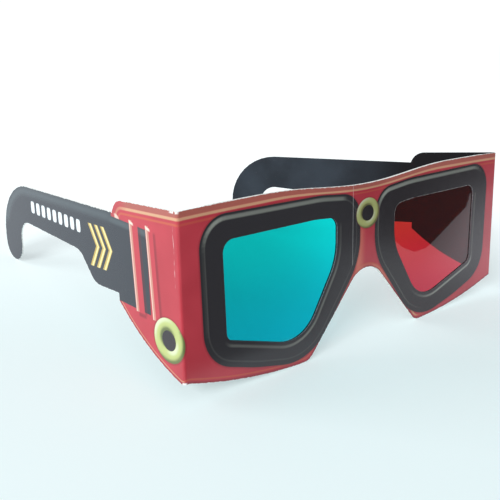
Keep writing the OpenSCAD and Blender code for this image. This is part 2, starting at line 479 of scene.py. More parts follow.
class Paint:
    """A material and the steps that make its node tree."""

    def __init__(self, name):
        self.material = bpy.data.materials.new(name)
        self.material.use_nodes = True
        self.tree = self.material.node_tree
        self.tree.nodes.clear()

    def node(self, kind, **settings):
        made = self.tree.nodes.new("ShaderNode" + kind)
        for key, value in settings.items():
            setattr(made, key, value)
        return made

    def plug(self, socket, value):
        if isinstance(value, Value):
            value = value.socket
        if isinstance(value, bpy.types.NodeSocket):
            self.tree.links.new(value, socket)
        else:
            socket.default_value = value

    def math(self, operation, a, b=0.0):
        made = self.node("Math", operation=operation)
        self.plug(made.inputs[0], a)
        self.plug(made.inputs[1], b)
        return Value(self, made.outputs[0])

    def field(self, name):
        return Value(self, self.node("Attribute", attribute_name=name).outputs["Fac"])

    def vector(self, name):
        return self.node("Attribute", attribute_name=name).outputs["Vector"]

    def parts(self, vector):
        made = self.node("SeparateXYZ")
        self.plug(made.inputs[0], vector)
        return [Value(self, part) for part in made.outputs]

    def noise(self, vector, scale, detail, stretch=(1, 1, 1)):
        mapping = self.node("Mapping")
        self.plug(mapping.inputs["Vector"], vector)
        mapping.inputs["Scale"].default_value = stretch
        made = self.node("TexNoise")
        self.plug(made.inputs["Vector"], mapping.outputs["Vector"])
        made.inputs["Scale"].default_value = scale
        made.inputs["Detail"].default_value = detail
        return Value(self, made.outputs["Fac"])

    def mix(self, below, above, share):
        made = self.node("Mix", data_type="RGBA")
        self.plug(made.inputs[MIX_SHARE], share)
        self.plug(made.inputs[MIX_BELOW], below)
        self.plug(made.inputs[MIX_ABOVE], above)
        return made.outputs[MIX_RESULT]

    def bump(self, height, depth_mm, strength):
        made = self.node("Bump")
        made.inputs["Strength"].default_value = strength
        made.inputs["Distance"].default_value = depth_mm * MM
        self.plug(made.inputs["Height"], height)
        return made.outputs["Normal"]

    def principled(self, **inputs):
        """The material's one surface shader; an input's name has _ for a space."""
        made = self.node("BsdfPrincipled")
        for key, value in inputs.items():
            self.plug(made.inputs[key.replace("_", " ")], value)
        return made.outputs[0]

    def finish(self, surface):
        self.tree.links.new(surface, self.node("OutputMaterial").inputs["Surface"])
        return self.material


# Materials

# A noise is given as its scale and its detail: on the blank the scale is per millimetre, elsewhere per metre

# Clouds in the red ink: their noise, the part of it that shows, and how far they darken the red
CLOUDS = (0.06, 2.0)
CLOUD_RANGE = (0.30, 0.70)
CLOUD_SHARE = 0.8
# The print of a tab sets in here, beside its fold
TAB_RANGE = (-0.6, 0.2)
# Gloss of the coat, with patches that are duller
COAT_IOR = 1.55
COAT_ROUGHNESS = 0.15
PATCHES = (0.5, 2.0)
PATCH_ROUGHNESS = 0.10
# Relief of the printed side: fine grain, and the ridge of a crease from packing beside the bridge
GRAIN = (3.0, 4.0)
GRAIN_SHARE = 0.5
PACK_FOLD = -6.4
PACK_ENDS = (-26, -1)
PACK_RIDGE = 0.5
PRINT_RELIEF = 0.02
RELIEF_STRENGTH = 0.25


def printed_card():
    """The printed side of the blank: red card, black rims and arms, borders, bars and rings."""
    p = Paint("printed_card")
    blank = p.vector("blank")
    x, y, _ = p.parts(blank)
    across = abs(x)
    s = across - TAB_X
    top, low, cut = p.field("top"), p.field("low"), p.field("cut")
    on_tab = s.rise(*TAB_RANGE)

    ink = p.mix(RED, RED_DEEP, p.noise(blank, *CLOUDS).rise(*CLOUD_RANGE) * CLOUD_SHARE)
    ink = border(p, ink, top, low, x, s, y, on_tab)
    ink = bridge(p, ink, x, y, across, low)
    ink = rims(p, ink, x)
    ink = strap_and_arm(p, ink, s, y)
    for place in BARS:
        ink = bar(p, ink, s, y, *place)
    ink = rings(p, ink, s)
    ink = arm_marks(p, ink, s, y)
    ink = wear(p, ink, blank, x, y, s, top, cut)

    grain = p.noise(blank, *GRAIN)
    ridge = abs(x - PACK_FOLD).fall(0.0, PACK_RIDGE) * y.band(*PACK_ENDS, PACK_RIDGE)
    height = grain * GRAIN_SHARE + ridge
    roughness = COAT_ROUGHNESS + p.noise(blank, *PATCHES) * PATCH_ROUGHNESS
    return p.finish(p.principled(Base_Color=ink, Roughness=roughness, IOR=COAT_IOR,
                                 Normal=p.bump(height, PRINT_RELIEF, RELIEF_STRENGTH)))


# Lines along the top edge, by depth under it: a brown band, a tan line and an orange line, and their shares
BROWN_END = (1.35, 1.75)
BROWN_SHARE = 0.95
TAN_LINE = (1.6, 2.35, 0.2)
TAN_SHARE = 0.72
ORANGE_LINE = (3.15, 3.7, 0.25)
ORANGE_SHARE = 0.40
# Two of them are stronger on the tabs, and two fade towards the tabs' rear
TAN_ON_TAB = 0.13
ORANGE_ON_TAB = 0.35
REAR_RANGE = (21.0, 26.5)
BROWN_REAR = 0.75
TAN_REAR = 0.5
# Towards the bridge they are narrower
NARROW_RANGE = (-55.0, -25.0)
NARROW_SHARE = 0.3
# On a tab they end in a bright spot near the rear corner: place, half sizes, slope, soft edge and share
SPOT_AT = (27.3, -5.2)
SPOT_HALF = (1.3, 0.8)
SPOT_SLOPE = 0.4
SPOT_EDGE = (0.1, 1.3)
SPOT_SHARE = 0.75
# Lines along the lower edges, by height over them: a dark edge, an orange line on the face that ends under
# the left window, a tan streak at the left lower corner, and a tan line on the tabs
DARK_FOOT = (0.3, 0.8)
DARK_FOOT_SHARE = 0.5
FOOT_LINE = (1.0, 1.4, 0.2)
FOOT_LINE_END = (26.0, 36.0)
FOOT_LINE_SHARE = 0.6
STREAK = (0.9, 1.5, 0.2)
STREAK_X = (22.5, 26.0, 1.5)
STREAK_SHARE = 0.7
TAB_LINE = (0.75, 1.05, 0.15)
TAB_LINE_SHARE = 0.65


def border(p, ink, top, low, x, s, y, on_tab):
    """Lines that follow the top edge and the lower edges."""
    rear = s.rise(*REAR_RANGE)
    top = top * (1 + s.fall(*NARROW_RANGE) * NARROW_SHARE)
    ink = p.mix(ink, BROWN, top.fall(*BROWN_END) * (BROWN_SHARE - rear * BROWN_REAR))
    ink = p.mix(ink, TAN, top.band(*TAN_LINE) * (TAN_SHARE + on_tab * TAN_ON_TAB - rear * TAN_REAR))
    ink = p.mix(ink, ORANGE, top.band(*ORANGE_LINE) * (ORANGE_SHARE + on_tab * ORANGE_ON_TAB))
    dx = (s - SPOT_AT[0]) * (1 / SPOT_HALF[0])
    dy = (y - SPOT_AT[1] - (s - SPOT_AT[0]) * SPOT_SLOPE) * (1 / SPOT_HALF[1])
    ink = p.mix(ink, CREAM, (dx * dx + dy * dy).fall(*SPOT_EDGE) * SPOT_SHARE)
    ink = p.mix(ink, RED_DARK, low.fall(*DARK_FOOT) * DARK_FOOT_SHARE)
    foot_line = low.band(*FOOT_LINE) * (1 - on_tab) * x.fall(*FOOT_LINE_END)
    ink = p.mix(ink, ORANGE, foot_line * FOOT_LINE_SHARE)
    ink = p.mix(ink, TAN, low.band(*STREAK) * x.band(*STREAK_X) * STREAK_SHARE)
    return p.mix(ink, TAN, low.band(*TAB_LINE) * on_tab * TAB_LINE_SHARE)


# Painted light on the bridge: a shade by distance from its middle, a glow on its right half, and a glow
# along the nose arch that is stronger on the left
BRIDGE_SHADE = (5.0, 12.0)
BRIDGE_SHADE_SHARE = 0.14
BRIDGE_GLOW = (4.0, 6.0)
BRIDGE_GLOW_X = (-4.0, 0.0)
BRIDGE_GLOW_Y = (-29, -15, 3.0)
BRIDGE_GLOW_SHARE = 0.7
ARCH_GLOW = (0.3, 1.0, 0.3)
ARCH_GLOW_END = (9.0, 14.0)
ARCH_GLOW_SHARE = 0.3
ARCH_LEFT = (2.0, 4.0)
ARCH_LEFT_SHARE = 0.4


def bridge(p, ink, x, y, across, low):
    """Soft painted light on the bridge and along the nose arch."""
    ink = p.mix(ink, RED_DARK, across.fall(*BRIDGE_SHADE) * BRIDGE_SHADE_SHARE)
    glow = across.fall(*BRIDGE_GLOW) * y.band(*BRIDGE_GLOW_Y) * x.fall(*BRIDGE_GLOW_X)
    ink = p.mix(ink, GLOW, glow * BRIDGE_GLOW_SHARE)
    arch = low.band(*ARCH_GLOW) * across.fall(*ARCH_GLOW_END)
    return p.mix(ink, GLOW, arch * (ARCH_GLOW_SHARE + x.rise(*ARCH_LEFT) * ARCH_LEFT_SHARE))


# An ink edge is this soft to both sides
INK_SOFT = 0.1
# The rims' shade on the red round them, and where painted shade deepens their black towards the left
RIM_SHADE = (0.0, 0.7)
RIM_SHADE_SHARE = 0.4
DEEP_SHADE_RANGE = (-20.0, 20.0)
# Outer bevel, inside the rim's outline: its band, how tightly its light is drawn, and the part without light
OUTER_BEVEL = (-1.75, -0.75, 0.35)
OUTER_POWER = 3.2
UNLIT_X = (-9.8, 0.0, 1.8)
# A faint line inside it: its band, where on the left rim it ends, where it is doubled, and its share
FAINT_LINE = (-1.85, -1.45, 0.2)
FAINT_LINE_END = (24.0, 32.0)
FAINT_LINE_NOSE = (3.0, 22.0, 4.0)
FAINT_LINE_SHARE = 0.11
# Inner bevel, round the window: its band, how tightly its light is drawn, and where on the left it brightens
INNER_BEVEL = (1.0, 1.75, 0.3)
INNER_POWER = 2.0
INNER_SHARE = 0.6
INNER_LEFT = (24.0, 40.0)
INNER_LEFT_SHARE = 0.35


def rims(p, ink, x):
    """Black rims round the windows, with painted bevels and painted shade that deepens the black on the
    left.
    """
    rim, window = p.field("rim"), p.field("window")
    ink = p.mix(ink, RED_DARK, rim.fall(*RIM_SHADE) * RIM_SHADE_SHARE)
    # Painted shade deepens the rims' black towards the left
    ink = p.mix(ink, p.mix(BLACK, BLACK_IN_SHADE, x.rise(*DEEP_SHADE_RANGE)), rim.fall(-INK_SOFT, INK_SOFT))
    outer = rim.band(*OUTER_BEVEL) * p.field("rim_lit").power(OUTER_POWER) * (1 - x.band(*UNLIT_X))
    faint = rim.band(*FAINT_LINE) * (x.fall(*FAINT_LINE_END) + x.band(*FAINT_LINE_NOSE))
    outer = outer + faint * FAINT_LINE_SHARE
    inner = window.band(*INNER_BEVEL) * p.field("window_lit").power(INNER_POWER)
    inner = inner * (INNER_SHARE + x.rise(*INNER_LEFT) * INNER_LEFT_SHARE)
    return p.mix(ink, BEVEL, outer.most(inner).least(1.0))


# The strap runs from the arm over the tab: its two ends, and height and slope of its edges at the arm
STRAP_START = 13.2
STRAP_END = 30.0
STRAP_TOP = (-5.4, 0.077)
STRAP_LOW = (-28.8, 0.046)
ARM_SOFT = 0.3
# Painted sheen along the arm's edges, which sets in here, and under the strap's upper edge, which ends here
ARM_EDGE = (0.4, 2.6, 1.2)
ARM_EDGE_FROM = (24.0, 34.0)
STRAP_EDGE = (0.2, 1.8, 0.6)
STRAP_EDGE_END = (30.0, 34.0)
SHEEN_SHARE = 0.55


def strap_and_arm(p, ink, s, y):
    """The black of the arm and of the strap that carries it on over the tab, lightened by painted
    reflection, with painted sheen along its edges.
    """
    back = s - STRAP_END
    below_top = STRAP_TOP[0] + back * STRAP_TOP[1] - y
    above_low = y - (STRAP_LOW[0] + back * STRAP_LOW[1])
    strap = below_top.rise(-INK_SOFT, INK_SOFT) * above_low.rise(-INK_SOFT, INK_SOFT)
    strap = strap * s.rise(STRAP_START - INK_SOFT, STRAP_START + INK_SOFT)
    black = strap.most(s.rise(STRAP_END, STRAP_END + ARM_SOFT))
    # The arm's black is lighter than the rims' black, as painted reflection
    ink = p.mix(ink, ARM_BLACK, black)
    edge = p.field("arm").band(*ARM_EDGE) * s.rise(*ARM_EDGE_FROM)
    under = below_top.band(*STRAP_EDGE) * s.fall(*STRAP_EDGE_END)
    return p.mix(ink, ARM_SHEEN, edge.most(under) * black * SHEEN_SHARE)


# Two raised bars on the tab: place of the rear edge at the top, slope of that edge, top, foot and width
BARS = [(21.4, 0.052, -5.1, -29.9, 4.0), (13.8, 0.056, -5.5, -30.5, 3.2)]
BAR_SOFT = 0.12
# Light along a bar, from its rear edge: a broad line and its bright core
BAR_LIGHT = (0.1, 1.35, 0.22)
BAR_CORE = (0.12, 0.5, 0.15)
BAR_CORE_SHARE = 0.75
# The bright hook at a bar's head: depth, slope, half height and reach
BAR_HOOK_DROP = 0.45
BAR_HOOK_SLOPE = 0.28
BAR_HOOK_EDGE = (0.15, 0.55)
BAR_HOOK_REACH = (0.15, 1.9, 0.45)
# A bar's shadow: past its front edge and between its foot and head, and under its foot
SHADOW_BESIDE = (0.1, 1.1, 0.5)
SHADOW_BESIDE_ENDS = (-0.4, -1.5, 0.6)
SHADOW_UNDER_ENDS = (1.2, 0.6, 0.4)
SHADOW_UNDER = (-1.2, -0.1, 0.4)
SHADOW_SHARE = 0.5


def bar_shadow(t, y, head, foot, width):
    """Where a bar's shadow falls beside it and under it; t is the distance from the bar's rear edge."""
    start, end, soft = SHADOW_BESIDE
    low, high, end_soft = SHADOW_BESIDE_ENDS
    beside = t.band(width + start, width + end, soft) * y.band(foot + low, head + high, end_soft)
    start, end, soft = SHADOW_UNDER_ENDS
    low, high, end_soft = SHADOW_UNDER
    under = t.band(start, width + end, soft) * y.band(foot + low, foot + high, end_soft)
    return beside.most(under)


def bar(p, ink, s, y, rear, slope, head, foot, width):
    """A red bar with a bright rear edge, a bright hook at its head and a shadow past its front edge."""
    t = rear + (y - head) * slope - s
    tall = y.band(foot, head, BAR_SOFT)
    ink = p.mix(ink, RED_DARK, bar_shadow(t, y, head, foot, width) * SHADOW_SHARE)
    ink = p.mix(ink, RED, t.band(0.0, width, BAR_SOFT) * tall)
    ink = p.mix(ink, PINK_TAN, t.band(*BAR_LIGHT) * tall)
    ink = p.mix(ink, CREAM, t.band(*BAR_CORE) * tall * BAR_CORE_SHARE)
    hook = abs(y - head + BAR_HOOK_DROP + t * BAR_HOOK_SLOPE).fall(*BAR_HOOK_EDGE) * t.band(*BAR_HOOK_REACH)
    return p.mix(ink, CREAM, hook)


# A ring's tones by its painted light, and how much painted shade darkens the ring on the face
RING_BODY_FROM = (-0.05, 0.6)
RING_PALE_FROM = (0.56, 1.0)
ON_FACE = (-9.0, -5.0)
ON_FACE_SHADE = 0.32
# Across a ring, from -1 at its hole to 1 at its outer edge: the hole, that edge, and a shadow on the card
RING_HOLE = (-1.05, -0.93)
RING_EDGE = (0.93, 1.04)
RING_SHADOW = (1.0, 1.4)
RING_SHADOW_SHARE = 0.4


def rings(p, ink, s):
    """Round ring print on the bridge and on each tab; painted shade darkens the one on the face and its
    hole.
    """
    ring = p.field("ring")
    lit = p.field("ring_lit")
    shade = p.mix(RING_DEEP, RING_BODY, lit.rise(*RING_BODY_FROM))
    shade = p.mix(shade, RING_PALE, lit.rise(*RING_PALE_FROM))
    # Painted shade: the ring on the face and its hole are darker than those on the tabs
    on_face = s.fall(*ON_FACE)
    shade = p.mix(shade, RED_DARK, on_face * ON_FACE_SHADE)
    ink = p.mix(ink, RED_DARK, ring.fall(*RING_SHADOW) * RING_SHADOW_SHARE)
    ink = p.mix(ink, shade, ring.fall(*RING_EDGE))
    return p.mix(ink, p.mix(BLACK, BLACK_IN_SHADE, on_face), ring.fall(*RING_HOLE))


# Marks on the arm. A row of white dashes with rounded corners: start, pitch, count, half sizes, the power
# that rounds their corners, their soft edge, and the row's middle, height there and slope
ROW_START, ROW_PITCH, ROW_COUNT = 47.0, 3.6, 9
DASH_HALF = (1.15, 1.9)
DASH_POWER = 4
DASH_EDGE = (0.85, 1.15)
ROW_SOFT = 0.02
ROW_MIDDLE, ROW_Y, ROW_SLOPE = 50, -10.9, 0.05
# Gold chevrons: start, pitch, count, width, then height of the middle, half height, slant and bright line
CHEVRON_AT, CHEVRON_PITCH, CHEVRON_COUNT, CHEVRON_W = 30.6, 3.4, 3, 1.9
CHEVRON_Y, CHEVRON_HALF, CHEVRON_SLANT = -15.4, 6.2, 0.62
CHEVRON_LIGHT = (0.35, 1.1, 0.3)


def arm_marks(p, ink, s, y):
    """Generic marks on the arm."""
    step = (s - ROW_START) * (1 / ROW_PITCH)
    dx = abs(step.fraction() - 0.5) * (ROW_PITCH / DASH_HALF[0])
    dy = abs(y - (ROW_Y + (s - ROW_MIDDLE) * ROW_SLOPE)) * (1 / DASH_HALF[1])
    dash = (dx.power(DASH_POWER) + dy.power(DASH_POWER)).fall(*DASH_EDGE)
    row = s.band(ROW_START, ROW_START + ROW_PITCH * ROW_COUNT, ROW_SOFT)
    ink = p.mix(ink, WHITE_INK, dash * row)
    rise = abs(y - CHEVRON_Y)
    for i in range(CHEVRON_COUNT):
        t = s - (CHEVRON_AT + i * CHEVRON_PITCH) - rise * CHEVRON_SLANT
        shape = t.band(0, CHEVRON_W, INK_SOFT) * rise.fall(CHEVRON_HALF - INK_SOFT, CHEVRON_HALF + INK_SOFT)
        ink = p.mix(ink, p.mix(GOLD_DEEP, GOLD_PALE, t.band(*CHEVRON_LIGHT)), shape)
    return ink


# Worn ink along the cut edges: its noise, how much that counts, and how far it reaches in
WEAR = (1.1, 5.0)
WEAR_SHARE = 0.5
WEAR_REACH = (0.0, 0.10)
# Worn corners at a fold's head and foot: place, reach to both sides and along the fold, and patches
FOLD_HEAD_AT, FOLD_HEAD_REACH, FOLD_HEAD_DEPTH = 1.0, (0.8, 2.4), (0.35, 0.8)
FOLD_HEAD_PATCHES = (0.40, 0.55)
FOLD_FOOT_AT, FOLD_FOOT_REACH, FOLD_FOOT_DEPTH = -0.2, (0.3, 1.1), (0.25, 0.7)
# A cracked line beside a fold: place, how it wanders, half width, ends, patches of its noise, and share
CRACK_AT = 1.6
WANDER_NOISE, WANDER = (0.25, 3.0), 0.8
CRACK_WIDTH = (0.01, 0.14)
CRACK_ENDS = (-20, -5.5, 2.5)
CRACK_NOISE, CRACK_STRETCH = (1.5, 4.0), (1, 0.22, 1)
CRACK_PATCHES = (0.42, 0.64)
CRACK_SHARE = 0.5
# The worn line of the packing crease: half width, soft ends, share, and what noise adds to it
PACK_WIDTH = (0.02, 0.16)
PACK_SOFT = 0.6
PACK_SHARE = 0.12
PACK_NOISE = 0.3
# A thin worn lip along the top of the left window: width, where it sets in, patches and share
LIP_WIDTH = (0.02, 0.16)
LIP_X = (6.0, 14.0)
LIP_Y = (-17.0, -14.0)
LIP_PATCHES = (0.30, 0.60)
LIP_SHARE = 0.5


def wear(p, ink, blank, x, y, s, top, cut):
    """White card where the ink has worn at the cut edges and cracked along the folds."""
    rough = p.noise(blank, *WEAR)
    worn = (cut - (rough - 0.5) * WEAR_SHARE).fall(*WEAR_REACH)
    head = abs(s - FOLD_HEAD_AT).fall(*FOLD_HEAD_REACH) * top.fall(*FOLD_HEAD_DEPTH)
    head = head * rough.rise(*FOLD_HEAD_PATCHES)
    foot = abs(s - FOLD_FOOT_AT).fall(*FOLD_FOOT_REACH) * (y + SIDE_H).fall(*FOLD_FOOT_DEPTH)
    line = CRACK_AT - (p.noise(blank, *WANDER_NOISE) - 0.5) * WANDER
    crack = abs(s - line).fall(*CRACK_WIDTH) * y.band(*CRACK_ENDS)
    along = p.noise(blank, *CRACK_NOISE, CRACK_STRETCH)
    crack = crack * along.rise(*CRACK_PATCHES) * CRACK_SHARE
    packed = abs(x - PACK_FOLD).fall(*PACK_WIDTH) * y.band(*PACK_ENDS, PACK_SOFT)
    packed = packed * (PACK_SHARE + rough * PACK_NOISE)
    lip = p.field("window").fall(*LIP_WIDTH) * x.rise(*LIP_X) * y.rise(*LIP_Y)
    lip = lip * rough.rise(*LIP_PATCHES) * LIP_SHARE
    white = worn
    for place in (head, foot, crack, packed, lip):
        white = white.most(place)
    return p.mix(ink, CORE, white.least(1.0))


# Painted shade makes the lining darkest in the fold's corner and paler along the arm; it has dark clouds and
# a
# few pale specks: each noise, the part of it that shows, and its share
LINING_SHADE_FADE = (28.0, 60.0)
LINING_CLOUDS, LINING_CLOUD_RANGE, LINING_CLOUD_SHARE = (0.07, 3.0), (0.35, 0.7), 0.45
LINING_SPECKS, LINING_SPECK_RANGE, LINING_SPECK_SHARE = (2.2, 2.0), (0.70, 0.80), 0.10
LINING_ROUGHNESS = 0.50
LINING_PATCHES, LINING_PATCH_ROUGHNESS = (0.7, 2.0), 0.10
LINING_GLOSS = 0.15
LINING_GRAIN = (2.4, 5.0)
LINING_RELIEF = 0.03


def plain_black():
    """The unprinted black inside of the card, with painted shade that is deepest near the folds."""
    p = Paint("lining_black")
    blank = p.vector("blank")
    s = abs(p.parts(blank)[0]) - TAB_X
    # Painted shade: darkest near the fold, paler along the arm
    tone = p.mix(LINING_DEEP, LINING, s.rise(*LINING_SHADE_FADE))
    clouds = p.noise(blank, *LINING_CLOUDS).rise(*LINING_CLOUD_RANGE)
    tone = p.mix(tone, LINING_DEEP, clouds * LINING_CLOUD_SHARE)
    specks = p.noise(blank, *LINING_SPECKS).rise(*LINING_SPECK_RANGE)
    tone = p.mix(tone, CORE_SHADE, specks * LINING_SPECK_SHARE)
    roughness = LINING_ROUGHNESS + p.noise(blank, *LINING_PATCHES) * LINING_PATCH_ROUGHNESS
    grain = p.noise(blank, *LINING_GRAIN)
    return p.finish(p.principled(Base_Color=tone, Roughness=roughness, Specular_IOR_Level=LINING_GLOSS,
                                 Normal=p.bump(grain, LINING_RELIEF, RELIEF_STRENGTH)))


# Fibres of the card's core: their noise, the part of it that shows, and their relief
FIBRES = (2.0, 5.0)
FIBRE_RANGE = (0.4, 0.7)
FIBRE_RELIEF, FIBRE_STRENGTH = 0.06, 0.5
CORE_ROUGHNESS = 0.85


def cut_edge(name, pale, dark):
    """The cut edge of the card, with the fibres of its core."""
    p = Paint(name)
    fibre = p.noise(p.vector("blank"), *FIBRES)
    tone = p.mix(pale, dark, fibre.rise(*FIBRE_RANGE))
    return p.finish(p.principled(Base_Color=tone, Roughness=CORE_ROUGHNESS,
                                 Normal=p.bump(fibre, FIBRE_RELIEF, FIBRE_STRENGTH)))


# The films: heights in metres between which the tint changes to painted shade and reflection at the foot,
# gloss, and faint waves in the surface
FILM_RISE = (0.006, 0.042)
FILM_ROUGHNESS = 0.02
FILM_WAVES = (45.0, 1.0)
FILM_RELIEF, FILM_STRENGTH = 0.05, 0.12
CYAN_IOR = 1.35
RED_IOR = 1.5


def film(name, tint, low_tint, ior):
    """A dyed film that lets lamps through; towards its foot its tint changes slightly, as painted shade and
    reflection.
    """
    p = Paint(name)
    place = p.node("TexCoord").outputs["Object"]
    height = p.parts(place)[2]
    # Painted shade and reflection: the tint changes towards the film's foot
    colour = p.mix(low_tint, tint, height.rise(*FILM_RISE))
    wave = p.noise(place, *FILM_WAVES)
    glass = p.principled(Base_Color=colour, Roughness=FILM_ROUGHNESS, IOR=ior, Transmission_Weight=1.0,
                         Normal=p.bump(wave, FILM_RELIEF, FILM_STRENGTH))
    clear = p.node("BsdfTransparent")
    p.plug(clear.inputs["Color"], colour)
    made = p.node("MixShader")
    p.plug(made.inputs[0], p.node("LightPath").outputs["Is Shadow Ray"])
    p.plug(made.inputs[1], glass)
    p.plug(made.inputs[2], clear.outputs[0])
    return p.finish(made.outputs[0])


# Spots in the glue: their noise, and the part of it that shows
GLUE_SPOTS = (900.0, 3.0)
GLUE_RANGE = (0.4, 0.6)
GLUE_ROUGHNESS = 0.5


def glue_film():
    """The dried glue between the plies."""
    p = Paint("glue")
    spots = p.noise(p.node("TexCoord").outputs["Object"], *GLUE_SPOTS).rise(*GLUE_RANGE)
    return p.finish(p.principled(Base_Color=p.mix(GLUE, CORE_SHADE, spots), Roughness=GLUE_ROUGHNESS))


PRINT = printed_card()
INSIDE = plain_black()
EDGE = cut_edge("card_core", CORE, CORE_SHADE)
WINDOW_EDGE = cut_edge("inked_core", INKED_CORE, INKED_SHADE)


# Pieces

# Order of a sheet's materials
OUTER_SIDE, INNER_SIDE, CUT_OUTLINE, CUT_WINDOW = range(4)


def finish_mesh(name, points, faces, slots, blank, fields, materials):
    """A mesh object with its materials and the fields that they read."""
    mesh = bpy.data.meshes.new(name)
    mesh.from_pydata([tuple(p) for p in points], [], [tuple(int(i) for i in f) for f in faces])
    for material in materials:
        mesh.materials.append(material)
    mesh.polygons.foreach_set("material_index", slots)
    places = np.column_stack([blank, np.zeros(len(blank))]).astype(np.float32)
    mesh.attributes.new("blank", "FLOAT_VECTOR", "POINT").data.foreach_set("vector", places.ravel())
    for key, values in fields.items():
        mesh.attributes.new(key, "FLOAT", "POINT").data.foreach_set("value", values.astype(np.float32))
    made = bmesh.new()
    made.from_mesh(mesh)
    bmesh.ops.recalc_face_normals(made, faces=made.faces)
    made.to_mesh(mesh)
    made.free()
    piece = bpy.data.objects.new(name, mesh)
    scene.collection.objects.link(piece)
    return piece


def card_sheet(name, loops, flat, kind_of, materials, step, depth=0.0, sign=1, start=0.0):
    """A sheet of card cut along outlines; on the blank it starts at an x and runs to the left or right."""
    loops = [divided(loop, EDGE_STEP) for loop in loops]
    outer, outer_faces, outer_rim = fill(loops, step)
    inner, inner_faces, inner_rim = fill(loops, PLAIN_STEP)
    inner_rim = [i + len(outer) for i in inner_rim]
    points = [flat.at(x, y, depth) for x, y in outer]
    points += [flat.at(x, y, depth + CARD) for x, y in inner]
    faces = list(outer_faces) + list(inner_faces + len(outer))
    slots = [OUTER_SIDE] * len(outer_faces) + [INNER_SIDE] * len(inner_faces)
    first = 0
    for k, loop in enumerate(loops):
        for i in range(len(loop)):
            a, b = first + i, first + (i + 1) % len(loop)
            faces.append((outer_rim[a], outer_rim[b], inner_rim[b], inner_rim[a]))
            slots.append(CUT_OUTLINE if k == 0 else CUT_WINDOW)
        first += len(loop)
    sheet = np.concatenate([outer, inner])
    blank = np.column_stack([sign * (start + sheet[:, 0]), sheet[:, 1]])
    fields = print_fields(blank) | edge_fields(sheet, loops[0], kind_of)
    return finish_mesh(name, points, faces, slots, blank, fields, materials)


def bend_profile(side):
    """Section of a fold at the top: places on its outer and inner side, each with its x on the blank."""
    sign = SIDES[side]
    flat = temples[side]
    pivot = flat.origin - flat.outward * CARD * MM
    land = PIVOT_X - FACE_END
    touch = BEND_R * math.tan(FACE.outward.angle(flat.outward) / 2)
    centre = pivot - (ACROSS * sign * touch + FACE.outward * BEND_R) * MM
    face_end = pivot - ACROSS * sign * land * MM
    outer = [(face_end + FACE.outward * CARD * MM, FACE_END)]
    inner = [(face_end, FACE_END)]
    for k in range(BEND_STEPS + 1):
        arm = FACE.outward.slerp(flat.outward, k / BEND_STEPS)
        x = PIVOT_X - touch + (FOLD_ARC + 2 * touch) * k / BEND_STEPS
        outer.append((centre + arm * (BEND_R + CARD) * MM, x))
        inner.append((centre + arm * BEND_R * MM, x))
    temple_end = pivot + flat.along * land * MM
    outer.append((temple_end + flat.outward * CARD * MM, TAB_X + land))
    inner.append((temple_end, TAB_X + land))
    return outer, inner


def crease_strip(side):
    """The folded strip between the face and a temple: a tight round bend between two flat lands."""
    outer, inner = bend_profile(side)
    profile = outer + inner[::-1]
    rows = math.ceil(SIDE_H / EDGE_STEP)
    heights = [-SIDE_H * r / rows for r in range(rows + 1)]
    points = [p + UP * y * MM for y in heights for p, _ in profile]
    blank = np.array([(SIDES[side] * x, y) for y in heights for _, x in profile])
    n = len(profile)
    faces, slots = [], []
    for r in range(rows):
        for i in range(n):
            j = (i + 1) % n
            faces.append((r * n + i, r * n + j, (r + 1) * n + j, (r + 1) * n + i))
            slots.append(OUTER_SIDE if j in range(1, len(outer)) else INNER_SIDE)
    for r in (0, rows):
        faces.append(tuple(r * n + i for i in range(n)))
        slots.append(CUT_OUTLINE)
    fields = print_fields(blank)
    fields |= {"top": -blank[:, 1], "low": blank[:, 1] + SIDE_H, "arm": np.full(len(blank), EDGE_FAR)}
    fields["cut"] = np.minimum(fields["top"], fields["low"])
    piece = finish_mesh(side + "_crease_fold", points, faces, slots, blank, fields, [PRINT, INSIDE, EDGE])
    piece.data.shade_smooth()
    piece.data.set_sharp_from_angle(angle=SHARP_ANGLE)
    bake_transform(piece)
    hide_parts(side + "_crease")


face_card = card_sheet("printed_face", FACE_LOOPS, FACE, face_edge,
                       [PRINT, INSIDE, EDGE, WINDOW_EDGE], PRINT_STEP)
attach(face_card, "face")
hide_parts("front_panel")

back_depth = (reach("back_panel", BACK)[0] - FRONT) / MM
back_card = card_sheet("back_card", outlines("back_panel", FACE), FACE, face_edge,
                       [INSIDE, INSIDE, EDGE, INSIDE], PLAIN_STEP, back_depth)
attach(back_card, "face")
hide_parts("back_panel")

for side, sign in SIDES.items():
    temple = card_sheet(side + "_temple_card", outlines(side + "_temple", temples[side]), temples[side],
                        temple_edge, [PRINT, INSIDE, EDGE], PRINT_STEP, sign=sign, start=TAB_X)
    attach(temple, side + "_arm")
    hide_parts(side + "_temple")
    crease_strip(side)


def dress(node, material):
    """Gives a CAD node that stays its finished material."""
    nodes[node].data.materials.clear()
    nodes[node].data.materials.append(material)


dress("right_lens", film("cyan_film", CYAN, CYAN_LOW, CYAN_IOR))
dress("left_lens", film("red_film", FILM_RED, FILM_RED_LOW, RED_IOR))
dress("face_glue", glue_film())


# Floor, light and camera

MIDDLE = (cad_box[0] + cad_box[1]) / 2

# The floor in metres: half its width, how far it lies under the object, its roughness, and how much it glows
FLOOR_HALF = 6.0
FLOOR_DROP = 0.0001
FLOOR_ROUGHNESS = 0.9
FLOOR_GLOW = 0.405
# It fades to plain white behind the object, along the camera's direction and between two distances
FAR_WAY = (0.43, 0.90)
FAR_RANGE = (-0.06, 0.10)
FAR_GLOW = 0.25
# Far from the object, between two squared distances, it is as white as the background to the eye
FADE_RANGE = (0.36, 1.96)
FADE_GLOW = 0.6
# In gloss it glows brighter at the right, behind a slanting line: a painted reflection on the face's far end
RIGHT_WAY = 0.62
RIGHT_RANGE = (-0.055, -0.02)
RIGHT_START = (0.05, 0.16)
RIGHT_GLOW = 0.60
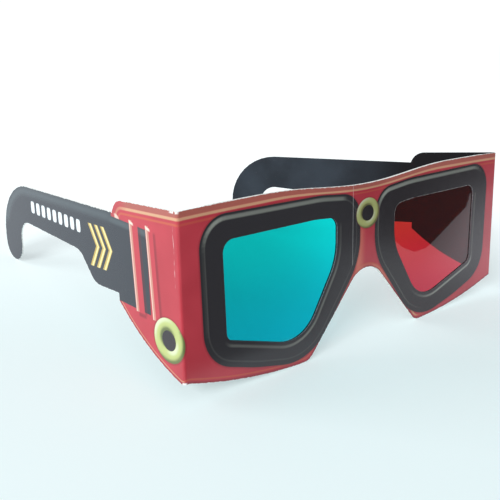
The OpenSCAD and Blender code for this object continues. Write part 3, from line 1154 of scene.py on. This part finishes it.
# Seen through a film, that painted bright part starts sooner, at another slanting line
BEHIND_WAY = 0.5
BEHIND_START = (0.005, 0.075)


def seen_floor():
    """A pale floor that keeps its shadows and looks white to the eye, in gloss and through the films, with a
    brighter patch at the right that is a painted reflection.
    """
    p = Paint("floor")
    path = p.node("LightPath").outputs
    camera = Value(p, path["Is Camera Ray"])
    gloss = Value(p, path["Is Glossy Ray"])
    through = Value(p, path["Is Transmission Ray"])
    seen = camera.most(gloss).most(through)
    x, y, _ = p.parts(p.node("TexCoord").outputs["Object"])
    far = (y * FAR_WAY[1] + x * FAR_WAY[0]).rise(*FAR_RANGE)
    fade = (x * x + y * y).rise(*FADE_RANGE) * camera
    behind = (x - y * BEHIND_WAY).rise(*BEHIND_START) * through
    # A painted reflection: a patch that glows brighter, seen in gloss and through the films
    right = (y + x * RIGHT_WAY).rise(*RIGHT_RANGE) * x.rise(*RIGHT_START).most(behind) * gloss
    glow = p.mix(p.mix(FLOOR, BACKDROP, far.most(fade)), FLOOR_GLOSS, gloss)
    strength = seen * (FLOOR_GLOW + far * FAR_GLOW + right * RIGHT_GLOW) + fade * FADE_GLOW
    return p.finish(p.principled(Base_Color=p.mix(FLOOR, FLOOR_SEEN, seen), Roughness=FLOOR_ROUGHNESS,
                                 Specular_IOR_Level=0.0, Emission_Color=glow, Emission_Strength=strength))


def add_floor():
    """A wide square floor under the object."""
    mesh = bpy.data.meshes.new("floor")
    h = FLOOR_HALF
    mesh.from_pydata([(-h, -h, 0), (h, -h, 0), (h, h, 0), (-h, h, 0)], [], [(0, 1, 2, 3)])
    mesh.materials.append(seen_floor())
    floor = bpy.data.objects.new("floor", mesh)
    floor.location.z = -FLOOR_DROP
    scene.collection.objects.link(floor)


# Light from all round, as a share of the white background
WORLD_LIGHT = 0.45


def add_world():
    """Even pale light all round, and a white background to the eye, in gloss and through the films."""
    world = bpy.data.worlds.new("studio")
    world.use_nodes = True
    tree = world.node_tree
    background = tree.nodes["Background"]
    path = tree.nodes.new("ShaderNodeLightPath").outputs
    seen = path["Is Camera Ray"]
    for kind in ("Is Transmission Ray", "Is Glossy Ray"):
        either = tree.nodes.new("ShaderNodeMath")
        either.operation = "MAXIMUM"
        tree.links.new(seen, either.inputs[0])
        tree.links.new(path[kind], either.inputs[1])
        seen = either.outputs[0]
    level = tree.nodes.new("ShaderNodeMapRange")
    tree.links.new(seen, level.inputs["Value"])
    level.inputs["To Min"].default_value = WORLD_LIGHT
    level.inputs["To Max"].default_value = 1.0
    tree.links.new(level.outputs["Result"], background.inputs["Strength"])
    tint = tree.nodes.new("ShaderNodeMix")
    tint.data_type = "RGBA"
    tree.links.new(seen, tint.inputs[MIX_SHARE])
    tint.inputs[MIX_BELOW].default_value = SKYLIGHT
    tint.inputs[MIX_ABOVE].default_value = BACKDROP
    tree.links.new(tint.outputs[MIX_RESULT], background.inputs["Color"])
    scene.world = world


# Soft square lamps: name, direction from the object, size in metres and watts
LAMPS = [("key", (-0.87, -0.27, 0.47), 1.0, 39.0),
         ("window", (-0.75, 0.52, 0.42), 1.0, 19.0),
         ("fill", (-0.25, -0.88, 0.40), 1.8, 2.0)]
LAMP_DISTANCE = 2.4


def add_lamp(name, towards, size, watts):
    """A soft square lamp that shines at the middle of the object from a direction."""
    data = bpy.data.lights.new(name, "AREA")
    data.size = size
    data.energy = watts
    data.color = DAYLIGHT
    lamp = bpy.data.objects.new(name, data)
    towards = Vector(towards).normalized()
    lamp.location = MIDDLE + towards * LAMP_DISTANCE
    lamp.rotation_mode = "QUATERNION"
    lamp.rotation_quaternion = towards.to_track_quat("Z", "Y")
    scene.collection.objects.link(lamp)


# Outlines on the floor, in metres, of two dark cards that only gloss sees: one that lies in front of the
# object and one that stands at the right
NEAR_FLAG = [(-0.30, -0.08), (0.0, -0.08), (0.028, -0.102), (0.064, -0.131), (0.12, -0.179), (0.20, -0.25),
             (0.227, -0.223), (0.192, -0.188), (0.173, -0.165), (0.186, -0.167), (0.202, -0.175),
             (0.289, -0.224), (0.441, -0.31), (0.732, -0.497), (0.9, -1.6), (-0.3, -1.6)]
NEAR_FLAG_LIFT = 0.0005
FAR_FLAG = [(0.25, -1.10), (0.62, -0.42), (0.80, -0.20)]
FAR_FLAG_HEIGHT = 0.7


def add_flag(name, points, faces):
    """A dark sheet that only gloss sees."""
    mesh = bpy.data.meshes.new(name)
    mesh.from_pydata(points, [], faces)
    p = Paint(name)
    dark = p.node("Emission")
    dark.inputs["Color"].default_value = FLAG_TONE
    mesh.materials.append(p.finish(dark.outputs[0]))
    flag = bpy.data.objects.new(name, mesh)
    flag.visible_camera = False
    flag.visible_diffuse = False
    flag.visible_shadow = False
    flag.visible_transmission = False
    flag.visible_volume_scatter = False
    scene.collection.objects.link(flag)


def add_flags():
    """The lying card, and the standing card with a bend in it."""
    lying = [(x, y, NEAR_FLAG_LIFT) for x, y in NEAR_FLAG]
    add_flag("near_flag", lying, [tuple(range(len(lying)))])
    standing = [(x, y, z) for z in (0.0, FAR_FLAG_HEIGHT) for x, y in FAR_FLAG]
    add_flag("far_flag", standing, [(0, 1, 4, 3), (1, 2, 5, 4)])


# The photograph's view: place in metres, degrees turned, looking down and rolled, and lens in millimetres
CAMERA_PLACE = (-0.1746, -0.1760, 0.1194)
CAMERA_TURN = -44.03
CAMERA_DOWN = 24.21
CAMERA_ROLL = 7.95
CAMERA_LENS = 55.19
CAMERA_SENSOR = 36.0


def add_camera():
    """The camera at the photograph's view."""
    data = bpy.data.cameras.new("camera")
    data.lens = CAMERA_LENS
    data.sensor_width = CAMERA_SENSOR
    camera = bpy.data.objects.new("camera", data)
    turn = Matrix.Rotation(math.radians(CAMERA_TURN), 4, "Z")
    tip = Matrix.Rotation(math.radians(90 - CAMERA_DOWN), 4, "X")
    roll = Matrix.Rotation(math.radians(CAMERA_ROLL), 4, "Z")
    camera.matrix_world = Matrix.Translation(CAMERA_PLACE) @ turn @ tip @ roll
    scene.collection.objects.link(camera)
    scene.camera = camera


add_floor()
add_world()
add_flags()
for lamp in LAMPS:
    add_lamp(*lamp)
add_camera()
scene.view_settings.view_transform = "Standard"
